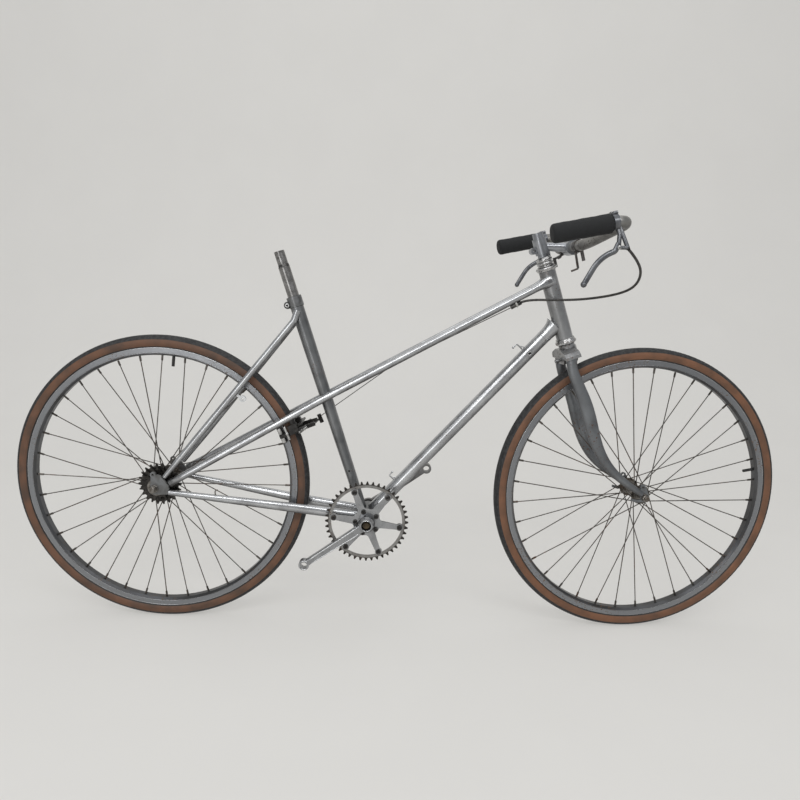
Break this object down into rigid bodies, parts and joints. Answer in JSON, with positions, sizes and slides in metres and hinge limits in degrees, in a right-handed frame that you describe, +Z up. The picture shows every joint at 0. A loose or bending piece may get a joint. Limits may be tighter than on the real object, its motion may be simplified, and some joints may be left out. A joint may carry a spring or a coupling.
{
  "type": "mixte bicycle",
  "caption": "Step-through bicycle with twin lateral tubes from head to rear axle, stripped of saddle, chain and pedals.",
  "frame": {"origin": "middle of the seat post's top, where a saddle is clamped", "axes": "+X forward, +Y to the rider's left, +Z up"},
  "size_m": [1.7107, 0.4592, 0.912],
  "materials": {
    "frame_paint": "worn silver enamel, dull, with fine scratches and rust freckles",
    "fork_paint": "darker worn silver-grey enamel with rust",
    "tyre": "matt black rubber greyed by dust, brownish sidewalls",
    "rim": "dull grey alloy, stained brown",
    "spoke": "dull steel with light rust",
    "hub": "greasy steel",
    "dark_steel": "blackened oily steel",
    "chainring": "rusty plated steel",
    "crank": "worn polished alloy",
    "black_metal": "chipped black paint",
    "bright_steel": "scratched plated steel",
    "alloy": "dull scratched alloy",
    "grip": "black foam rubber",
    "lever": "dark grey coated metal",
    "pad": "hard black rubber",
    "housing": "black plastic cover, dusty"
  },
  "bodies": {
    "frame": {"head_tube": "frame_paint", "bottom_bracket_shell": "frame_paint", "bearing_cups": "dark_steel", "down_tube": "frame_paint", "seat_tube": "frame_paint", "lateral_tube_left": "frame_paint", "lateral_tube_right": "frame_paint", "tube_bridges": "frame_paint", "seat_stays": "frame_paint", "chain_stays": "frame_paint", "rear_dropouts": "frame_paint", "seat_post": "bright_steel", "seat_clamp": "black_metal", "headset_cups": "black_metal", "rear_axle": "hub", "rear_brake_caliper": "black_metal", "rear_brake_pads": "pad", "down_tube_fittings": "frame_paint", "cable_stop": "black_metal", "brake_wire": "bright_steel"},
    "steering": {"fork_crown": "fork_paint", "fork_blades": "fork_paint", "front_axle": "hub", "headset_top": "black_metal", "stem": "crank", "handlebar": "alloy", "grips": "grip", "brake_levers": "lever", "bag_hooks": "black_metal", "brake_housing": "housing"},
    "front_wheel": {"front_tyre": "tyre", "front_rim": "rim", "front_spokes": "spoke", "front_hub": "hub", "front_valve": "black_metal"},
    "rear_wheel": {"rear_tyre": "tyre", "rear_rim": "rim", "rear_spokes": "spoke", "rear_hub": "hub", "rear_valve": "black_metal", "freewheel": "dark_steel"},
    "cranks": {"crank_spindle": "bright_steel", "crank_right": "crank", "crank_left": "crank", "chainring_carrier": "crank", "chainring": "chainring", "chainring_bolts": "bright_steel"}
  },
  "joints": [
    {"name": "steering_turn", "type": "hinge", "parent": "frame", "child": "steering", "pos_m": [0.59465, 0, -0.1026], "axis": [-0.3256, 0, 0.9455], "range_deg": [-64, 56], "deforming": ["brake_housing"]},
    {"name": "front_wheel_turn", "type": "hinge", "parent": "steering", "child": "front_wheel", "pos_m": [0.80264, 0.00466, -0.50691], "axis": [-0.0676, 0.9974, -0.0233], "continuous": true},
    {"name": "rear_wheel_turn", "type": "hinge", "parent": "frame", "child": "rear_wheel", "pos_m": [-0.2586, 0, -0.50686], "axis": [0, 1, 0], "continuous": true},
    {"name": "crank_turn", "type": "hinge", "parent": "frame", "child": "cranks", "pos_m": [0.1973, 0, -0.57736], "axis": [0, 1, 0], "continuous": true}
  ]
}
